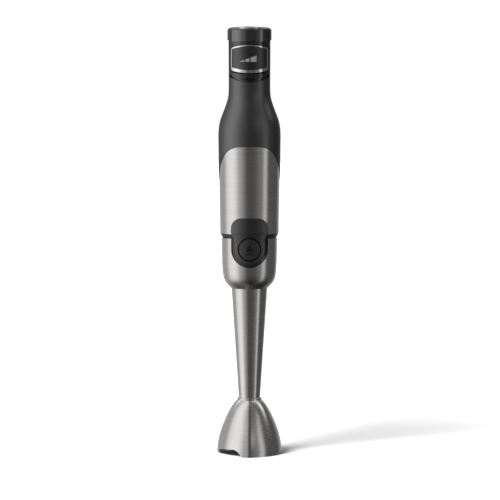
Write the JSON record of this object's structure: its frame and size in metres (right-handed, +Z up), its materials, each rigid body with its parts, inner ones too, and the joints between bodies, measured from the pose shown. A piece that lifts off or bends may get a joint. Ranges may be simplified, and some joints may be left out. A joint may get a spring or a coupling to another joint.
{
  "type": "immersion blender",
  "caption": "Hand-held stick blender: slim grip with a speed trigger, steel motor body and a detachable steel blending bar with a bladed bell foot.",
  "frame": {"origin": "on the floor plane that the bell's rim stands on, on the motor's axis", "axes": "+Z up along the motor's axis, the trigger and the release button face -Y"},
  "size_m": [0.0624, 0.0638, 0.4132],
  "materials": {
    "bell_steel": "fine horizontal brushing, half gloss",
    "tube_steel": "fine horizontal brushing, half gloss",
    "collar_steel": "fine horizontal brushing, half gloss",
    "sleeve_steel": "fine horizontal brushing, half gloss",
    "blade_steel": "ground and lightly polished",
    "bright_chrome": "mirror bright",
    "disc_metal": "satin with a soft dome",
    "badge_metal": "dark satin, left blank",
    "soft_grip": "soft-touch coating, matt",
    "gloss_black": "polished black",
    "satin_black": "fine moulded texture",
    "button_grey": "fine moulded texture",
    "trigger_pad": "matt with raised bars",
    "inner_plastic": "moulded",
    "housing_plastic": "moulded",
    "shaft_steel": "ground",
    "spring_steel": "drawn wire",
    "bronze": "sintered",
    "seal_rubber": "moulded",
    "lamination": "stacked laminations",
    "copper": "enamelled wire",
    "brass_slot": "pressed",
    "carbon": "pressed carbon",
    "board": "solder mask",
    "sink_metal": "extruded",
    "capacitor_case": "dipped"
  },
  "bodies": {
    "blending_bar": {"bell_guard": "bell_steel", "bearing_boss": "satin_black", "bar_tube": "tube_steel", "bar_collar": "collar_steel", "collar_liner": "gloss_black", "shaft_housing": "housing_plastic", "upper_bush": "bronze", "lower_bush": "bronze", "shaft_seal": "seal_rubber"},
    "running_shaft": {"drive_shaft": "shaft_steel", "bar_coupling": "satin_black", "shaft_clip": "spring_steel", "blade_hub": "inner_plastic", "blade_nut": "shaft_steel", "blade": "blade_steel"},
    "motor_unit": {"grip_shell": "soft_grip", "motor_sleeve": "sleeve_steel", "motor_base": "satin_black", "switch_panel": "gloss_black", "top_cap": "gloss_black", "top_disc": "disc_metal", "cap_band": "badge_metal", "cord_gland": "seal_rubber", "motor_stator": "lamination", "field_coils": "copper", "lower_bracket": "inner_plastic", "upper_bracket": "inner_plastic", "lower_bearing": "shaft_steel", "upper_bearing": "shaft_steel", "brush_holders": "brass_slot", "carbon_brushes": "carbon", "brush_springs": "spring_steel", "handle_chassis": "inner_plastic", "control_board": "board", "trigger_switch": "satin_black", "suppressor_capacitor": "capacitor_case", "heat_sink": "sink_metal", "trigger_pivot_pin": "shaft_steel", "trigger_spring": "spring_steel", "release_spring": "spring_steel"},
    "rotor": {"armature_shaft": "shaft_steel", "rotor_core": "lamination", "rotor_windings": "copper", "commutator": "copper", "cooling_fan": "inner_plastic", "motor_coupling": "satin_black"},
    "trigger": {"speed_trigger": "trigger_pad", "trigger_trim": "bright_chrome"},
    "release_button": {"release_button": "button_grey", "latch_plate": "satin_black"}
  },
  "joints": [
    {"name": "unit_lift", "type": "slide", "parent": "blending_bar", "child": "motor_unit", "axis": [0, 0, 1], "range_m": [0, 0.06]},
    {"name": "rotor_spin", "type": "hinge", "parent": "motor_unit", "child": "rotor", "pos_m": [0, 0, 0.25], "axis": [0, 0, 1], "continuous": true},
    {"name": "shaft_spin", "type": "hinge", "parent": "blending_bar", "child": "running_shaft", "pos_m": [0, 0, 0.1], "axis": [0, 0, 1], "continuous": true},
    {"name": "trigger_squeeze", "type": "hinge", "parent": "motor_unit", "child": "trigger", "pos_m": [0, -0.0136, 0.391], "axis": [1, 0, 0], "range_deg": [0, 8], "stiffness_Nm_per_rad": 0.08, "springref_deg": -5.73},
    {"name": "button_press", "type": "slide", "parent": "motor_unit", "child": "release_button", "axis": [0, 1, 0], "range_m": [0, 0.003], "stiffness_N_per_m": 500, "springref_m": -0.002, "deforming": ["release_spring"]}
  ],
  "couplings": [
    {"joint": "shaft_spin", "follows": "rotor_spin", "ratio": 1}
  ]
}
